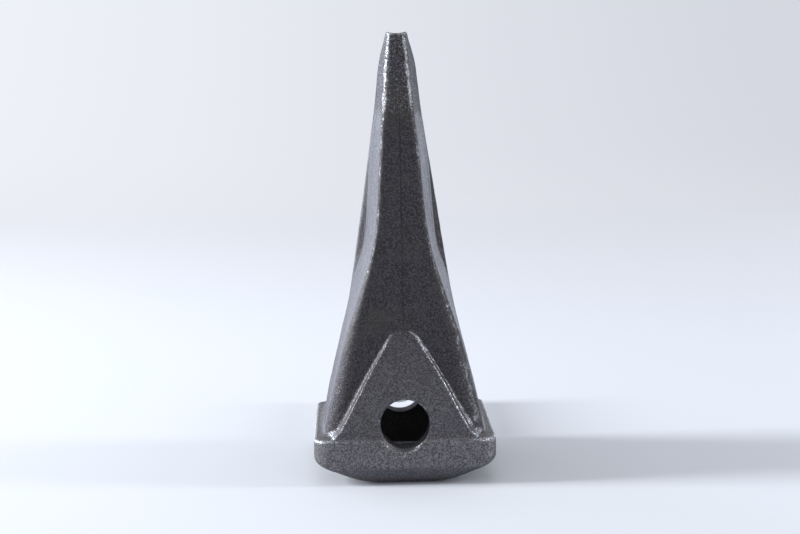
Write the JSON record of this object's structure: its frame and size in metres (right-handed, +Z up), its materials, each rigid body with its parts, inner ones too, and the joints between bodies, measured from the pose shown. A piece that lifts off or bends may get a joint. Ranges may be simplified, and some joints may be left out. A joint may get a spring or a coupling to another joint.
{
  "type": "excavator bucket tooth",
  "caption": "Forged side-pin bucket tooth with a tapered socket, centre ribs and triangular pin bosses, with its lock pin and split retaining ring drawn back.",
  "frame": {"origin": "middle of the footprint of tooth and drawn-back pin, on the ground that the tooth's mouth stands on", "axes": "+Z up from the socket mouth to the tip, X across the thickness of the tooth, Y along the cutting edge and the pin; the pin is drawn back along +Y"},
  "size_m": [0.0912, 0.1974, 0.223],
  "materials": {
    "forged_steel": "dark forging scale, slightly pitted, edges rubbed bright",
    "pin_steel": "turned and oiled alloy steel",
    "spring_steel": "blued spring steel"
  },
  "bodies": {
    "tooth": {"tooth_point": "forged_steel"},
    "pin": {"lock_pin": "pin_steel", "retaining_ring": "spring_steel"}
  },
  "joints": [
    {"name": "pin_slide", "type": "slide", "parent": "tooth", "child": "pin", "axis": [0, -1, 0], "range_m": [-0.02, 0.0957]}
  ]
}
